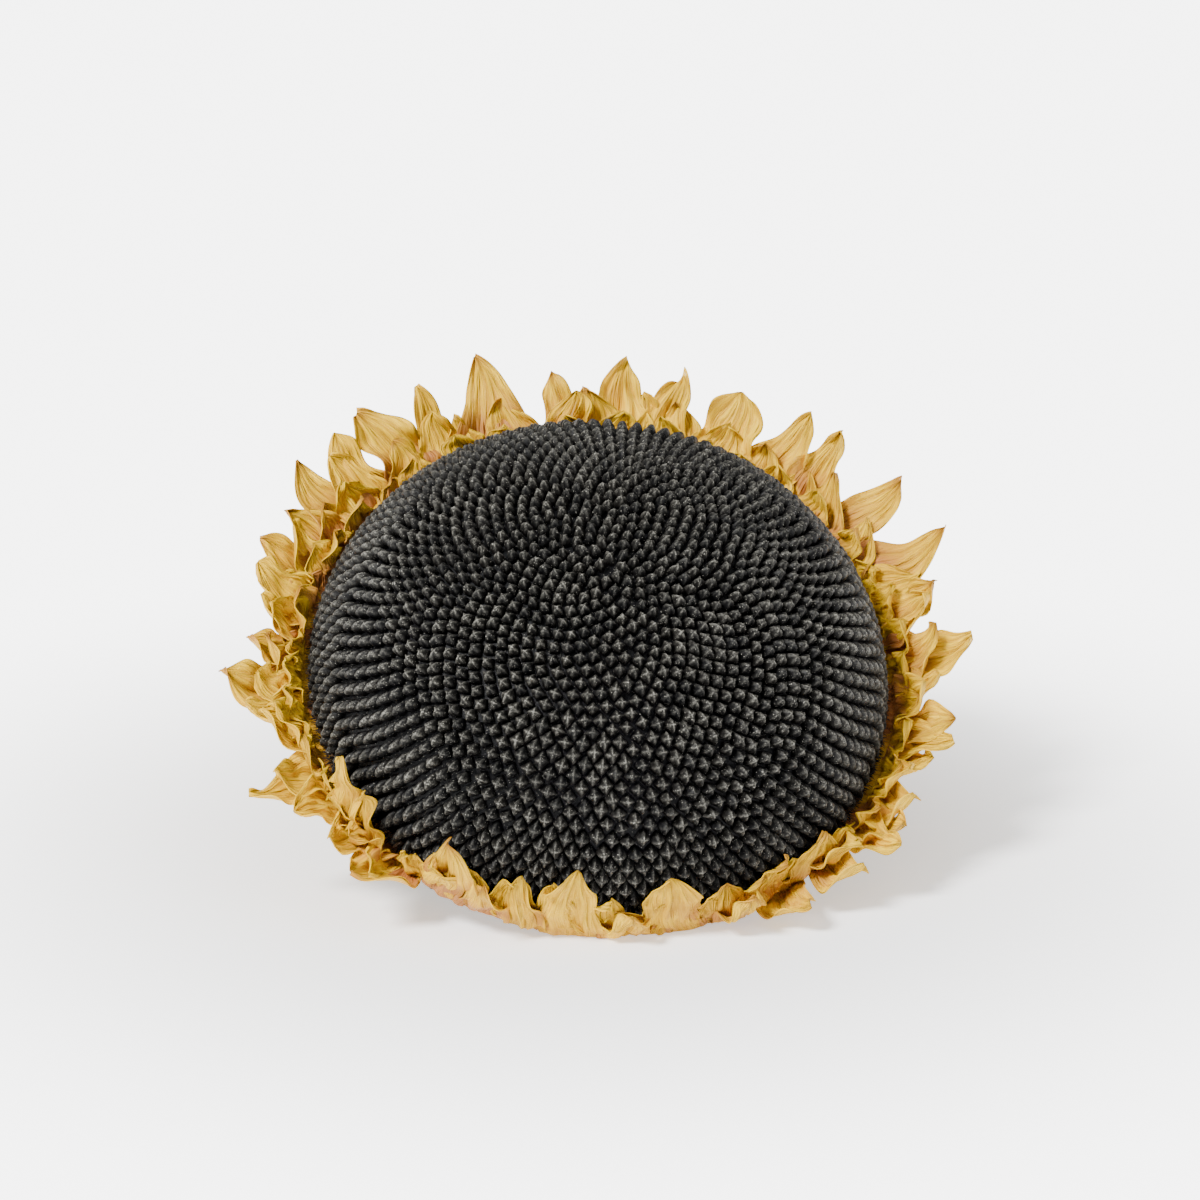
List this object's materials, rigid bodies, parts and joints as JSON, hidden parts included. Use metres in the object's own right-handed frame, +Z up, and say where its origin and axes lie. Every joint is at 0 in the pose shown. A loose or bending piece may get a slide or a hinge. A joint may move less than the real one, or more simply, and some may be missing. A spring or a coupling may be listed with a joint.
{
  "type": "sunflower seed head",
  "caption": "Dried sunflower head lying back on its cut stalk: a dome of black seeds in spiral rows, ringed by curled golden petals, with small bracts behind",
  "frame": {"origin": "middle of the underside of the whole head's box, on the surface on which it lies", "axes": "+X to the right along the longest extent, +Y away from the viewer towards the cut stalk, +Z up; the seeds face -Y and up"},
  "size_m": [0.2636, 0.2066, 0.1545],
  "materials": {
    "seeds": "satin black husk with a dusty grey tip",
    "petals": "matt, creased and veined, pink-brown towards the base",
    "back": "matt, dried, lightly wrinkled"
  },
  "bodies": {
    "root": {"seed_disc": "seeds", "ray_petals": "petals", "receptacle": "back"}
  },
  "joints": []
}
